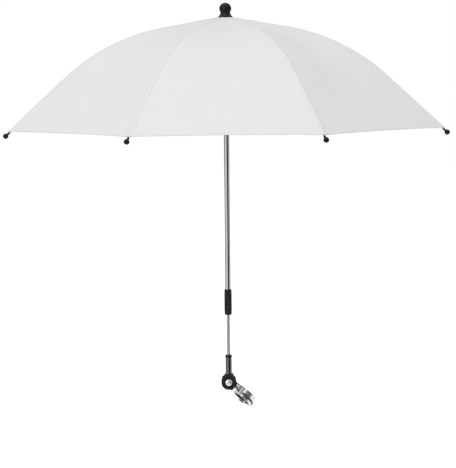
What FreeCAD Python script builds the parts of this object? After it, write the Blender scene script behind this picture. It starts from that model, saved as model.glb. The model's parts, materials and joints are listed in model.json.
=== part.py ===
import FreeCAD, Part
import math
import os

# All sizes are in millimetres and all angles in degrees.
# The origin is the middle of the clamp's bore, and +Z is up.

# Tube clamp
tube_dia = 25.4
liner_wall = 2.8
band_wall = 1.2
band_width = 15.0
band_broad_lip_width = 8.0
band_lip_width = 3.6
band_lip_height = 1.3
tube_rise_deg = 48.0
swivel_rest_deg = 18.0
gate_hinge_deg = 55.0
lug_deg = 232.0
band_end_gap = 0.6
lug_gap = 4.0
lug_length = 13.0
lug_thickness = 2.0
lug_root_depth = 1.2
lug_corner_radius = 3.0
knuckle_radius = 2.7
knuckle_gap = 0.35
knuckle_length = 4.2
gate_pin_radius = 1.25
gate_pin_overhang = 0.4
gate_pin_clearance = 0.06
clamp_screw_radius = 2.5
clamp_screw_clearance = 0.08
clamp_thread_gap = 0.5
clamp_screw_short = 1.2
clamp_screw_grip = 8.0
lug_hole_inset = 5.2
hinge_over_lip = 0.8
liner_end_deg = 3.0
liner_lug_deg = 11.0
gate_nut_flats = 8.0
gate_nut_sides = 6
gate_nut_height = 3.4
clamp_washer_radius = 5.0
clamp_washer_thickness = 1.0
clamp_knob_radius = 8.0
clamp_knob_height = 11.0
clamp_knob_lobes = 6
clamp_knob_dent_radius = 2.6
clamp_knob_dent_offset = 1.2
knob_edge = 1.0
knob_neck_radius = 4.6
knob_neck_height = 2.0

# Swivel boss and tilt fork
boss_radius = 8.5
boss_top = 22.6
boss_gap = 0.3
boss_edge = 0.7
boss_foot = 16.0
stem_radius = 4.5
stem_clearance = 0.06
stem_foot = 0.5
stem_groove_radius = 3.0
stem_groove_width = 2.6
swivel_pin_radius = 1.0
swivel_pin_gap = 0.35
swivel_pin_level = 20.4
swivel_pin_half_length = 6.9
pivot_reach = 34.8
fork_disc_radius = 12.5
fork_ear_thickness = 4.4
fork_base_thickness = 2.6
fork_edge = 0.8
fork_base_radius = 8.3
fork_recess_radius = 8.4
fork_recess_depth = 1.0
tongue_thickness = 6.0
tongue_radius = 8.4
friction_disc_thickness = 0.8
friction_disc_radius = 8.0
friction_gap = 0.08
pivot_bolt_radius = 3.0
pivot_bolt_clearance = 0.06
pivot_head_radius = 6.0
pivot_head_rim = 1.0
pivot_head_height = 3.2
pivot_head_dimple_radius = 0.9
pivot_head_dimple_depth = 0.8
pivot_head_bow_share = 0.75
tilt_knob_radius = 12.0
tilt_knob_height = 12.0
tilt_knob_lobes = 7
tilt_knob_dent_radius = 3.2
tilt_knob_dent_offset = 1.6
tilt_bolt_thread_gap = 0.06
seat_gap = 0.05

# Rod socket, rod, collar and mast tube, heights over the tilt axis
socket_radius = 5.0
socket_foot = 12.9
socket_top = 45.9
socket_rod_floor = 19.0
socket_edge = 0.6
socket_ring_radius = 5.4
socket_ring_height = 4.2
socket_ring_seat_radius = 4.2
tongue_neck_width = 8.0
tongue_neck_rise = 3.0
rod_radius = 2.4
rod_clearance = 0.06
rod_top = 294.0
rod_guide_length = 14.0
rod_guide_clearance = 0.08
collar_radius = 5.9
collar_bottom = 114.2
collar_top = 157.0
collar_edge = 0.9
collar_lip = 2.0
collar_clearance = 0.06
collar_bush_gap = 0.3
collar_side_gap = 0.35
bush_top = 146.0
bush_slit = 0.8
bush_slit_top = 125.0
mast_radius = 4.25
mast_wall = 0.8
mast_bottom = 132.0
mast_fit = 0.02
crown_level = 604.5

# Crown and finial
rib_count = 8
crown_radius = 11.0
crown_over_hinge = 2.4
crown_under_hinge = 3.2
crown_hub_radius = 5.9
crown_edge = 0.5
wire_radius = 0.65
wire_groove_gap = 0.2
wire_clearance = 0.06
rib_slot_width = 2.2
crown_slot_floor = 5.1
crown_hinge_radius = 7.0
eye_drop = 1.6
finial_base_radius = 11.65
finial_height = 24.0
finial_ball_radius = 9.75
finial_neck_radius = 8.0
finial_lip = 1.3
finial_skirt_height = 7.0
finial_skirt_mid_radius = 9.3
finial_skirt_mid_height = 4.0
finial_spigot_depth = 14.0
finial_seat_gap = 0.15

# Ribs, stretchers and tips, along the rib from the crown hinge
rib_inner_slope_deg = 9.8
rib_inner_length = 103.2
rib_bow_radius = 340.0
rib_outer_slope_deg = 41.3
tip_ball_reach = 372.0
rib_width = 3.2
rib_height = 2.6
rib_wall = 0.5
rib_start = 6.4
rib_channel_short = 16.0
rib_prong_radius = 1.0
rib_prong_back = 6.0
rib_prong_short = 4.0
rib_tab_thickness = 1.6
rib_tab_height = 2.0
rib_tab_into_channel = 7.0
rib_eye_radius = 1.6
bracket_reach_share = 0.8732
bracket_drop = 3.6
bracket_length = 9.0
bracket_skirt = 5.6
bracket_wall = 0.8
bracket_inner_width = 2.6
rivet_radius = 0.9
rivet_head_radius = 1.6
rivet_head_height = 0.5
rivet_clearance = 0.06
stretcher_length = 205.0
stretcher_thickness = 2.0
stretcher_half_height = 1.2
stretcher_eye_radius = 1.9
cradle_inner = 1.8
cradle_top = 1.0
cradle_bottom = 2.0
cradle_outer = 7.0
cradle_ramp_top = 8.6
cradle_ramp_foot = 9.0
cradle_ramp_end = 12.0
tip_ball_radius = 4.2
tip_neck_radius = 1.72
tip_neck_length = 10.0
tip_bore_clearance = 0.02

# Runner, catch and stop
runner_hinge_radius = 9.0
runner_clearance = 0.08
runner_hub_radius = 13.0
runner_hub_over = 4.0
runner_hub_under = 4.5
runner_sleeve_radius = 6.6
runner_slot_floor = 7.2
runner_slot_width = 2.7
runner_hub_floor = 7.6
runner_length = 30.0
runner_foot_radius = 9.0
runner_foot_height = 4.0
runner_edge = 0.6
rib_close_deg = 60.0
catch_gap = 0.3
catch_width = 1.8
catch_reach = 7.4
catch_length = 14.0
catch_lip = 1.5
catch_leg_length = 16.0
catch_leg_outer = 3.1
catch_leg_inner = 1.7
catch_slot_width = 2.6
catch_slot_margin = 1.0
stop_pin_radius = 1.0
stop_pin_half_length = 6.4
stop_pin_gap = 0.3

# Canopy cloth
cloth_gap_over_rib = 0.15
cloth_thickness = 0.6
cloth_inner_radius = 5.6
cloth_corner_short = 8.4
cloth_hem_arch = 2.0
cloth_sag = 5.4
cloth_panel_gap = 0.1
cloth_stations = 19
cloth_strips = 5

# Values that follow from the sizes above
length_tolerance = 0.0001
bore_radius = tube_dia / 2
band_inner = bore_radius + liner_wall
band_outer = band_inner + band_wall
lip_outer = band_outer + band_lip_height
half_band = band_width / 2
full_turn_deg = 360.0
rib_step_deg = full_turn_deg / rib_count
first_rib_deg = rib_step_deg / 2
rib_in = math.radians(rib_inner_slope_deg)
rib_out = math.radians(rib_outer_slope_deg)
rib_bow_length = rib_bow_radius * (rib_out - rib_in)


def rib_line(s):
    """Point (radius, height) and slope of the rib's middle line at length s from the crown hinge."""
    r = crown_hinge_radius + min(s, rib_inner_length) * math.cos(rib_in)
    z = -min(s, rib_inner_length) * math.sin(rib_in)
    if s <= rib_inner_length:
        return r, z, rib_in
    slope = rib_in + min(s - rib_inner_length, rib_bow_length) / rib_bow_radius
    r += rib_bow_radius * (math.sin(slope) - math.sin(rib_in))
    z += rib_bow_radius * (math.cos(slope) - math.cos(rib_in))
    rest = max(s - rib_inner_length - rib_bow_length, 0)
    return r + rest * math.cos(slope), z - rest * math.sin(slope), slope


def rib_length_at(radius):
    """Length along the rib at which its middle line reaches the radius."""
    low = 0
    high = 2 * tip_ball_reach
    while high - low > length_tolerance:
        middle = (low + high) / 2
        if rib_line(middle)[0] < radius:
            low = middle
        else:
            high = middle
    return low


cloth_fall_beside_rib = rib_width / 2 * math.tan(math.radians(rib_step_deg / 2)) * math.sin(rib_out)
cloth_low = rib_height / 2 + cloth_fall_beside_rib + cloth_gap_over_rib
tip_ball_length = rib_length_at(tip_ball_reach)
bracket_radius_on_rib = runner_hinge_radius + bracket_reach_share * stretcher_length
bracket_length_on_rib = rib_length_at(bracket_radius_on_rib)
bracket_r, bracket_z, bracket_slope = rib_line(bracket_length_on_rib)
rib_pivot_r = bracket_r - bracket_drop * math.sin(bracket_slope)
rib_pivot_z = bracket_z - bracket_drop * math.cos(bracket_slope)
hinge_z = -eye_drop
runner_hinge_z = rib_pivot_z - math.sqrt(
    stretcher_length ** 2 - (rib_pivot_r - runner_hinge_radius) ** 2)
stretcher_rise = math.atan2(rib_pivot_z - runner_hinge_z, rib_pivot_r - runner_hinge_radius)


def pivot_when_turned(turn_deg):
    """Rib pivot (radius, height) after the rib has turned down about the crown hinge."""
    arm_r = rib_pivot_r - crown_hinge_radius
    arm_z = rib_pivot_z - hinge_z
    turn = math.radians(turn_deg)
    return (crown_hinge_radius + arm_r * math.cos(turn) + arm_z * math.sin(turn),
            hinge_z - arm_r * math.sin(turn) + arm_z * math.cos(turn))


closed_pivot_r, closed_pivot_z = pivot_when_turned(rib_close_deg)
closed_runner_z = closed_pivot_z - math.sqrt(
    stretcher_length ** 2 - (closed_pivot_r - runner_hinge_radius) ** 2)
runner_travel = runner_hinge_z - closed_runner_z
closed_rise = math.atan2(closed_pivot_z - closed_runner_z, closed_pivot_r - runner_hinge_radius)
stretcher_turn_deg = rib_close_deg + math.degrees(closed_rise - stretcher_rise)

tube_rise = math.radians(tube_rise_deg)
reach_dir = (-math.sin(tube_rise), 0, math.cos(tube_rise))
front_dir = (0, -1, 0)
tube_dir = (math.cos(tube_rise), 0, math.sin(tube_rise))
pivot_at = tuple(pivot_reach * c for c in reach_dir)

V = FreeCAD.Vector
origin = V(0, 0, 0)
up = V(0, 0, 1)
fork_frame = FreeCAD.Placement(
    origin, FreeCAD.Rotation(V(*reach_dir), V(*front_dir), V(*tube_dir), "XYZ"))
clamp_frame = fork_frame.multiply(
    FreeCAD.Placement(origin, FreeCAD.Rotation(V(1, 0, 0), swivel_rest_deg)))
mast_frame = FreeCAD.Placement(V(*pivot_at), FreeCAD.Rotation())
canopy_frame = FreeCAD.Placement(V(*pivot_at) + V(0, 0, crown_level), FreeCAD.Rotation())

os.makedirs("parts", exist_ok=True)


def save(name, shape, frame):
    """Write one piece, moved from its own frame into the shared frame."""
    piece = shape.copy()
    piece.Placement = frame.multiply(piece.Placement)
    piece.exportStep("parts/" + name + ".step")
    print(name, len(piece.Solids), piece.isValid(), round(piece.Volume))


def cylinder(radius, low, high):
    return Part.makeCylinder(radius, high - low, V(0, 0, low))


def ring(outer, inner, low, high):
    return cylinder(outer, low, high).cut(cylinder(inner, low, high))


def box(x0, x1, y0, y1, z0, z1):
    return Part.makeBox(x1 - x0, y1 - y0, z1 - z0, V(x0, y0, z0))


def turned(points, turn_deg=full_turn_deg):
    """Solid turned about Z from a closed outline of (radius, height) points."""
    outline = Part.makePolygon([V(r, 0, z) for r, z in points + points[:1]])
    return Part.Face(outline).revolve(origin, up, turn_deg)


def turned_edges(edges):
    """Solid turned about Z from a closed chain of edges in the XZ plane."""
    return Part.Face(Part.Wire(edges)).revolve(origin, up, full_turn_deg)


def plate(points, thickness):
    """Plate with an (x, z) outline, its thickness centred on the XZ plane."""
    outline = Part.makePolygon([V(x, -thickness / 2, z) for x, z in points + points[:1]])
    return Part.Face(outline).extrude(V(0, thickness, 0))


def across(radius, thickness, x, z):
    """Cylinder along Y, centred on the XZ plane, at (x, z)."""
    return Part.makeCylinder(radius, thickness, V(x, -thickness / 2, z), V(0, 1, 0))


def chamfered_disc(radius, low, high, edge):
    return turned([(0, low), (radius - edge, low), (radius, low + edge),
                   (radius, high - edge), (radius - edge, high), (0, high)])


def lobed_knob(radius, low, high, lobes, dent_radius, dent_offset):
    """Round knob with finger dents, about Z."""
    knob = chamfered_disc(radius, low, high, knob_edge)
    for k in range(lobes):
        angle = math.radians(k * full_turn_deg / lobes)
        at = V((radius + dent_offset) * math.cos(angle), (radius + dent_offset) * math.sin(angle), low)
        knob = knob.cut(Part.makeCylinder(dent_radius, high - low, at))
    return knob


def to_direction(shape, at, direction):
    """Move a piece made about Z so that its axis runs along the direction from the point."""
    moved = shape.copy()
    moved.Placement = FreeCAD.Placement(at, FreeCAD.Rotation(up, direction)).multiply(moved.Placement)
    return moved


def spun(shape, angle_deg):
    moved = shape.copy()
    moved.rotate(origin, up, angle_deg)
    return moved


def wire_ring(flat_radius, z):
    """Ring of wire with one straight side across each rib."""
    corner = flat_radius / math.cos(math.radians(rib_step_deg / 2))
    points = []
    for k in range(rib_count):
        angle = math.radians(k * rib_step_deg)
        points.append(V(corner * math.cos(angle), corner * math.sin(angle), z))
    pieces = []
    for a, b in zip(points, points[1:] + points[:1]):
        pieces.append(Part.makeCylinder(wire_radius, (b - a).Length, a, b - a))
        pieces.append(Part.makeSphere(wire_radius, a))
    return pieces[0].multiFuse(pieces[1:]).removeSplitter()


def rib_slots(floor, width, reach, low, high):
    slots = []
    for k in range(rib_count):
        slot = box(floor, reach, -width / 2, width / 2, low, high)
        slots.append(spun(slot, first_rib_deg + k * rib_step_deg))
    return slots


def finial():
    """Turned knob on a flared skirt, with a spigot for the mast tube."""
    offset = cloth_low + cloth_thickness
    slope = math.tan(rib_in)
    cloth_at_lip = offset / math.cos(rib_in) - (finial_base_radius - crown_hinge_radius) * slope
    base = cloth_at_lip + finial_seat_gap
    inside = cloth_inner_radius * math.cos(math.radians(rib_step_deg / 2)) - cloth_panel_gap
    under = base + (finial_base_radius - inside) * slope
    seat = hinge_z + crown_over_hinge
    spigot = mast_radius - mast_wall - mast_fit
    top = base + finial_height
    ball = top - finial_ball_radius
    neck = ball - math.sqrt(finial_ball_radius ** 2 - finial_neck_radius ** 2)
    slant = math.sqrt(2) / 2 * finial_ball_radius
    dip = math.acos(finial_neck_radius / finial_ball_radius) / 2
    low_bow = V(finial_ball_radius * math.cos(dip), 0, ball - finial_ball_radius * math.sin(dip))
    chain = [(0, top), (finial_neck_radius, neck), (finial_neck_radius, base + finial_skirt_height),
             (finial_base_radius, base + finial_lip), (finial_base_radius, base), (inside, under),
             (inside, seat), (spigot, seat), (spigot, seat - finial_spigot_depth),
             (0, seat - finial_spigot_depth), (0, top)]
    at = [V(r, 0, z) for r, z in chain]
    edges = [Part.Arc(at[0], V(slant, 0, ball + slant), V(finial_ball_radius, 0, ball)).toShape(),
             Part.Arc(V(finial_ball_radius, 0, ball), low_bow, at[1]).toShape(),
             Part.makeLine(at[1], at[2]),
             Part.Arc(at[2], V(finial_skirt_mid_radius, 0, base + finial_skirt_mid_height),
                      at[3]).toShape()]
    edges += [Part.makeLine(a, b) for a, b in zip(at[3:], at[4:])]
    return turned_edges(edges)


def crown():
    """Slotted wheel with a groove for the wire that the rib eyes turn on."""
    low = hinge_z - crown_under_hinge
    high = hinge_z + crown_over_hinge
    groove = wire_radius + wire_groove_gap
    bore = mast_radius + mast_fit
    wheel = turned([(bore, low), (crown_radius - crown_edge, low), (crown_radius, low + crown_edge),
                    (crown_radius, hinge_z - groove), (crown_hub_radius, hinge_z - groove),
                    (crown_hub_radius, hinge_z + groove), (crown_radius, hinge_z + groove),
                    (crown_radius, high - crown_edge), (crown_radius - crown_edge, high), (bore, high)])
    return wheel.cut(rib_slots(crown_slot_floor, rib_slot_width, 2 * crown_radius, low, high))


def runner():
    """Sliding sleeve with a slotted and grooved hub and a foot that rests on the catch."""
    z = runner_hinge_z
    groove = wire_radius + wire_groove_gap
    bore = mast_radius + runner_clearance
    low = z - runner_hub_under
    high = z + runner_hub_over
    end = z - runner_length
    sleeve = turned([(bore, high), (runner_hub_radius - runner_edge, high),
                     (runner_hub_radius, high - runner_edge), (runner_hub_radius, z + groove),
                     (runner_hub_floor, z + groove), (runner_hub_floor, z - groove),
                     (runner_hub_radius, z - groove), (runner_hub_radius, low + runner_edge),
                     (runner_hub_radius - runner_edge, low), (runner_sleeve_radius, low),
                     (runner_sleeve_radius, end + runner_foot_height),
                     (runner_foot_radius - runner_edge, end + runner_foot_height),
                     (runner_foot_radius, end + runner_foot_height - runner_edge),
                     (runner_foot_radius, end + runner_edge), (runner_foot_radius - runner_edge, end),
                     (bore, end)])
    return sleeve.cut(rib_slots(runner_slot_floor, runner_slot_width, 2 * runner_hub_radius, low, high))


catch_top = runner_hinge_z - runner_length - catch_gap
stop_pin_z = runner_hinge_z + runner_hub_over + stop_pin_gap + stop_pin_radius
quarter_turn_deg = full_turn_deg / 4


def open_catch():
    """Sprung tooth in the mast, facing the front."""
    foot = catch_top - catch_length
    tooth = plate([(catch_leg_inner, catch_top), (catch_reach, catch_top),
                   (catch_reach, catch_top - catch_lip), (catch_leg_outer, foot),
                   (catch_leg_outer, foot - catch_leg_length), (catch_leg_inner, foot - catch_leg_length)],
                  catch_width)
    return spun(tooth, -quarter_turn_deg)


def stop_pin():
    return Part.makeCylinder(stop_pin_radius, 2 * stop_pin_half_length,
                             V(-stop_pin_half_length, 0, stop_pin_z), V(1, 0, 0))


def mast_tube():
    """Long tube, with a slot for the catch and a hole for the stop pin."""
    tube = ring(mast_radius, mast_radius - mast_wall, mast_bottom - crown_level,
                hinge_z + crown_over_hinge)
    slot = box(0, 2 * mast_radius, -catch_slot_width / 2, catch_slot_width / 2,
               catch_top - catch_length, catch_top + catch_slot_margin)
    return tube.cut([spun(slot, -quarter_turn_deg), stop_pin()])


def lock_collar():
    """Twist sleeve that turns on the lower end of the mast tube."""
    bore = mast_radius + collar_clearance
    mouth = rod_radius + collar_side_gap
    return turned([(mouth, collar_bottom), (collar_radius - collar_edge, collar_bottom),
                   (collar_radius, collar_bottom + collar_edge), (collar_radius, collar_top - collar_edge),
                   (collar_radius - collar_edge, collar_top), (bore, collar_top),
                   (bore, collar_bottom + collar_lip), (mouth, collar_bottom + collar_lip)])


def collar_bush():
    """Split guide bush in the lower end of the mast tube, gripping the rod."""
    low = collar_bottom + collar_lip + collar_bush_gap
    flange = mast_radius - collar_side_gap
    spigot = mast_radius - mast_wall - mast_fit
    bore = rod_radius + rod_clearance
    bush = turned([(bore, low), (flange, low), (flange, mast_bottom), (spigot, mast_bottom),
                   (spigot, bush_top), (bore, bush_top)])
    return bush.cut(box(0, 2 * mast_radius, -bush_slit / 2, bush_slit / 2, low, bush_slit_top))


def inner_rod():
    """Lower rod with a swaged end that runs in the mast tube."""
    rod = cylinder(rod_radius, socket_rod_floor + seat_gap, rod_top)
    guide = chamfered_disc(mast_radius - mast_wall - rod_guide_clearance,
                           rod_top - rod_guide_length, rod_top, socket_edge)
    return rod.fuse(guide).removeSplitter()


def rod_socket():
    """Sleeve for the rod, with the tongue of the tilt joint under it."""
    seat = socket_top - socket_ring_height
    sleeve = turned([(0, socket_foot), (socket_radius - socket_edge, socket_foot),
                     (socket_radius, socket_foot + socket_edge), (socket_radius, seat),
                     (socket_ring_seat_radius, seat), (socket_ring_seat_radius, socket_top - socket_edge),
                     (0, socket_top - socket_edge)])
    tongue = across(tongue_radius, tongue_thickness, 0, 0)
    neck = box(-tongue_neck_width / 2, tongue_neck_width / 2, -tongue_thickness / 2,
               tongue_thickness / 2, 0, socket_foot + tongue_neck_rise)
    body = sleeve.multiFuse([tongue, neck])
    rod_bore = cylinder(rod_radius + rod_clearance, socket_rod_floor, socket_top)
    bolt_hole = across(pivot_bolt_radius + pivot_bolt_clearance, 2 * tongue_thickness, 0, 0)
    return body.cut([rod_bore, bolt_hole]).removeSplitter()


def socket_ring():
    seat = socket_top - socket_ring_height
    lip = rod_radius + collar_side_gap
    return turned([(socket_ring_seat_radius, seat), (socket_ring_radius, seat),
                   (socket_ring_radius, socket_top - socket_edge),
                   (socket_ring_radius - socket_edge, socket_top), (lip, socket_top),
                   (lip, socket_top - socket_edge), (socket_ring_seat_radius, socket_top - socket_edge)])


ear_inner = tongue_thickness / 2 + friction_disc_thickness + 2 * friction_gap
ear_outer = ear_inner + fork_ear_thickness
pivot_point = V(pivot_reach, 0, 0)
front = V(0, 1, 0)
back = V(0, -1, 0)
outward = V(1, 0, 0)


def tilt_fork():
    """Two round ears on a base, with the stem that swivels in the clamp's boss."""
    foot = boss_top + boss_gap
    ears = []
    for side in (front, back):
        ear = chamfered_disc(fork_disc_radius, ear_inner, ear_outer, fork_edge)
        ears.append(to_direction(ear, pivot_point, side))
    below = box(-pivot_reach, foot, -pivot_reach, pivot_reach, -pivot_reach, pivot_reach)
    base = cylinder(fork_base_radius, foot, foot + fork_base_thickness)
    shaft = cylinder(stem_radius, lip_outer + stem_foot, foot)
    groove = ring(2 * stem_radius, stem_groove_radius, swivel_pin_level - stem_groove_width / 2,
                  swivel_pin_level + stem_groove_width / 2)
    stem = to_direction(base.fuse(shaft).cut(groove), origin, outward)
    body = ears[0].fuse(ears[1]).cut(below).fuse(stem)
    hole = cylinder(pivot_bolt_radius + mast_fit, -2 * ear_outer, 2 * ear_outer)
    recess = cylinder(fork_recess_radius, ear_outer - fork_recess_depth, 2 * ear_outer)
    return body.cut(to_direction(hole.fuse(recess), pivot_point, front)).removeSplitter()


def friction_discs():
    low = tongue_thickness / 2 + friction_gap
    disc = ring(friction_disc_radius, pivot_bolt_radius + pivot_bolt_clearance,
                low, low + friction_disc_thickness)
    return Part.makeCompound([to_direction(disc, pivot_point, front),
                              to_direction(disc, pivot_point, back)])


def tilt_bolt():
    """Domed bolt through the fork, its thread in the knob at the back."""
    seat = ear_outer - fork_recess_depth + seat_gap
    rim = seat + pivot_head_rim
    top = seat + pivot_head_height
    dish = top - pivot_head_dimple_depth
    end = -(ear_outer + tilt_knob_height - knob_neck_height)
    chain = [(0, end), (pivot_bolt_radius, end), (pivot_bolt_radius, seat), (pivot_head_radius, seat),
             (pivot_head_radius, rim)]
    at = [V(r, 0, z) for r, z in chain]
    crest = V(pivot_head_dimple_radius, 0, top)
    bow = V(pivot_head_bow_share * pivot_head_radius, 0, rim + pivot_head_bow_share * (top - rim))
    inner = [crest, V(pivot_head_dimple_radius, 0, dish), V(0, 0, dish), at[0]]
    edges = [Part.makeLine(a, b) for a, b in zip(at, at[1:])]
    edges.append(Part.Arc(at[-1], bow, crest).toShape())
    edges += [Part.makeLine(a, b) for a, b in zip(inner, inner[1:])]
    return to_direction(turned_edges(edges), pivot_point, front)


def tilt_knob():
    low = ear_outer + seat_gap
    neck = cylinder(knob_neck_radius + knob_neck_height, low, low + knob_neck_height)
    grip = lobed_knob(tilt_knob_radius, low + knob_neck_height, low + tilt_knob_height + knob_neck_height,
                      tilt_knob_lobes, tilt_knob_dent_radius, tilt_knob_dent_offset)
    thread = cylinder(pivot_bolt_radius + tilt_bolt_thread_gap, low, low + tilt_knob_height)
    return to_direction(neck.fuse(grip).cut(thread).removeSplitter(), pivot_point, back)


def band(from_deg, to_deg):
    """Stretch of the clamp band, with a narrow raised lip below its groove and a broad one above."""
    groove_low = band_lip_width - half_band
    groove_high = half_band - band_broad_lip_width
    strip = turned([(band_inner, -half_band), (lip_outer, -half_band), (lip_outer, groove_low),
                    (band_outer, groove_low), (band_outer, groove_high), (lip_outer, groove_high),
                    (lip_outer, half_band), (band_inner, half_band)], to_deg - from_deg)
    return spun(strip, from_deg)


hinge_radius = lip_outer + hinge_over_lip
hinge_rad = math.radians(gate_hinge_deg)
hinge_point = V(hinge_radius * math.cos(hinge_rad), hinge_radius * math.sin(hinge_rad), 0)
band_end_deg = math.degrees(band_end_gap / 2 / band_outer)
lug_hole_radius_at = lip_outer + lug_length - lug_hole_inset


def at_hinge(shape):
    moved = shape.copy()
    moved.translate(hinge_point)
    return moved


def lug(side):
    """Flat lug of one band half, with side +1 for the saddle and -1 for the gate."""
    near = side * lug_gap / 2
    far = side * (lug_gap / 2 + lug_thickness)
    start = band_inner + lug_root_depth / 2
    tab = box(start, lip_outer + lug_length, min(near, far), max(near, far), -half_band, half_band)
    outer = [e for e in tab.Edges if abs(e.Vertexes[0].Y - e.Vertexes[-1].Y) > seat_gap
             and e.Vertexes[0].X > lip_outer]
    return tab.makeFillet(lug_corner_radius, outer)


def lug_hole(radius):
    span = 2 * clamp_knob_height
    return across(radius, 2 * span, lug_hole_radius_at, 0)


outer_knuckle_foot = half_band - knuckle_length
outer_knuckle_zone = outer_knuckle_foot - knuckle_gap


def split_slab():
    span = 2 * lug_length
    return box(0, lip_outer + span, -lug_gap / 2, lug_gap / 2, -half_band, half_band)


def clamp_saddle():
    """Fixed half of the band, with two hinge knuckles and the lug for the screw."""
    strip = band(lug_deg, full_turn_deg + gate_hinge_deg - band_end_deg)
    room = at_hinge(cylinder(knuckle_radius + knuckle_gap, -outer_knuckle_foot, outer_knuckle_foot))
    strip = strip.cut([spun(split_slab(), lug_deg), room])
    ends = [at_hinge(cylinder(knuckle_radius, outer_knuckle_foot, half_band)),
            at_hinge(cylinder(knuckle_radius, -half_band, -outer_knuckle_foot))]
    ear = lug(1).cut(lug_hole(clamp_screw_radius + clamp_screw_clearance))
    pin = at_hinge(cylinder(gate_pin_radius, -band_width, band_width))
    return strip.multiFuse(ends + [spun(ear, lug_deg)]).cut(pin).removeSplitter()


def hex_nut(flats, low, high):
    corner = flats / 2 / math.cos(math.pi / gate_nut_sides)
    points = []
    for k in range(gate_nut_sides):
        angle = math.radians(k * full_turn_deg / gate_nut_sides)
        points.append(V(corner * math.cos(angle), corner * math.sin(angle), low))
    return Part.Face(Part.makePolygon(points + points[:1])).extrude(V(0, 0, high - low))


def clamp_gate():
    """Hinged half of the band, with the middle knuckle and a lug with a welded nut."""
    strip = band(gate_hinge_deg + band_end_deg, lug_deg)
    rooms = [at_hinge(cylinder(knuckle_radius + knuckle_gap, outer_knuckle_zone, band_width)),
             at_hinge(cylinder(knuckle_radius + knuckle_gap, -band_width, -outer_knuckle_zone))]
    strip = strip.cut(rooms + [spun(split_slab(), lug_deg)])
    middle = at_hinge(cylinder(knuckle_radius, -outer_knuckle_zone, outer_knuckle_zone))
    face = lug_gap / 2 + lug_thickness
    nut = to_direction(hex_nut(gate_nut_flats, face, face + gate_nut_height),
                       V(lug_hole_radius_at, 0, 0), back)
    ear = lug(-1).fuse(nut).cut(lug_hole(clamp_screw_radius + clamp_thread_gap))
    pin = at_hinge(cylinder(gate_pin_radius + gate_pin_clearance, -band_width, band_width))
    return strip.multiFuse([middle, spun(ear, lug_deg)]).cut(pin).removeSplitter()


def gate_pin():
    end = half_band + gate_pin_overhang
    return at_hinge(cylinder(gate_pin_radius, -end, end))


def liner(from_deg, to_deg):
    """Rubber lining of one band half."""
    strip = turned([(bore_radius, -half_band), (band_inner, -half_band), (band_inner, half_band),
                    (bore_radius, half_band)], to_deg - from_deg)
    return spun(strip, from_deg)


def on_screw_axis(shape):
    """Move a piece made about Z onto the clamp screw's axis, with +Z towards its knob."""
    return spun(to_direction(shape, V(lug_hole_radius_at, 0, 0), front), lug_deg)


saddle_lug_face = lug_gap / 2 + lug_thickness
washer_top = saddle_lug_face + seat_gap + clamp_washer_thickness
knob_foot = washer_top + seat_gap


def clamp_screw():
    tip = -(saddle_lug_face + gate_nut_height - clamp_screw_short)
    return on_screw_axis(cylinder(clamp_screw_radius, tip, knob_foot + clamp_screw_grip))


def clamp_washer():
    return on_screw_axis(ring(clamp_washer_radius, clamp_screw_radius + clamp_screw_clearance,
                              saddle_lug_face + seat_gap, washer_top))


def clamp_knob():
    neck = cylinder(knob_neck_radius, knob_foot, knob_foot + knob_neck_height)
    grip = lobed_knob(clamp_knob_radius, knob_foot + knob_neck_height, knob_foot + clamp_knob_height,
                      clamp_knob_lobes, clamp_knob_dent_radius, clamp_knob_dent_offset)
    socket = cylinder(clamp_screw_radius, knob_foot, knob_foot + clamp_screw_grip)
    return on_screw_axis(neck.fuse(grip).cut(socket).removeSplitter())


def swivel_boss():
    """Block on the band's saddle with the bore that the fork's stem turns in."""
    block = turned([(0, boss_foot), (boss_radius, boss_foot), (boss_radius, boss_top - boss_edge),
                    (boss_radius - boss_edge, boss_top), (0, boss_top)])
    bore = cylinder(stem_radius + stem_clearance, 0, 2 * boss_top)
    block = to_direction(block.cut(bore), origin, outward)
    inside = cylinder(band_outer, -half_band, half_band)
    return block.cut([inside, band(0, full_turn_deg), swivel_pin()]).removeSplitter()


def swivel_pin():
    """Cross pin that sits in the stem's groove and keeps it in the boss."""
    beside = stem_groove_radius + swivel_pin_gap + swivel_pin_radius
    pin = cylinder(swivel_pin_radius, -swivel_pin_half_length, swivel_pin_half_length)
    return to_direction(pin, V(swivel_pin_level, 0, beside), front)


def on_rib(s, rise):
    """Point in the rib's plane at length s along the rib and a rise square to it."""
    r, z, slope = rib_line(s)
    return r + rise * math.sin(slope), z + rise * math.cos(slope)


def rib_channel(start, end):
    """Bowed channel, open below."""
    bow_end = rib_inner_length + rib_bow_length
    at = [V(on_rib(s, 0)[0], 0, on_rib(s, 0)[1])
          for s in (start, rib_inner_length, rib_inner_length + rib_bow_length / 2, bow_end, end)]
    path = Part.Wire([Part.makeLine(at[0], at[1]), Part.Arc(at[1], at[2], at[3]).toShape(),
                      Part.makeLine(at[3], at[4])])
    side = rib_width / 2
    half = rib_height / 2
    inside = side - rib_wall
    roof = half - rib_wall
    section = [(-side, -half), (-side, half), (side, half), (side, -half),
               (inside, -half), (inside, roof), (-inside, roof), (-inside, -half)]
    points = [V(on_rib(start, rise)[0], y, on_rib(start, rise)[1]) for y, rise in section]
    return path.makePipeShell([Part.makePolygon(points + points[:1])], True, False)


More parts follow.
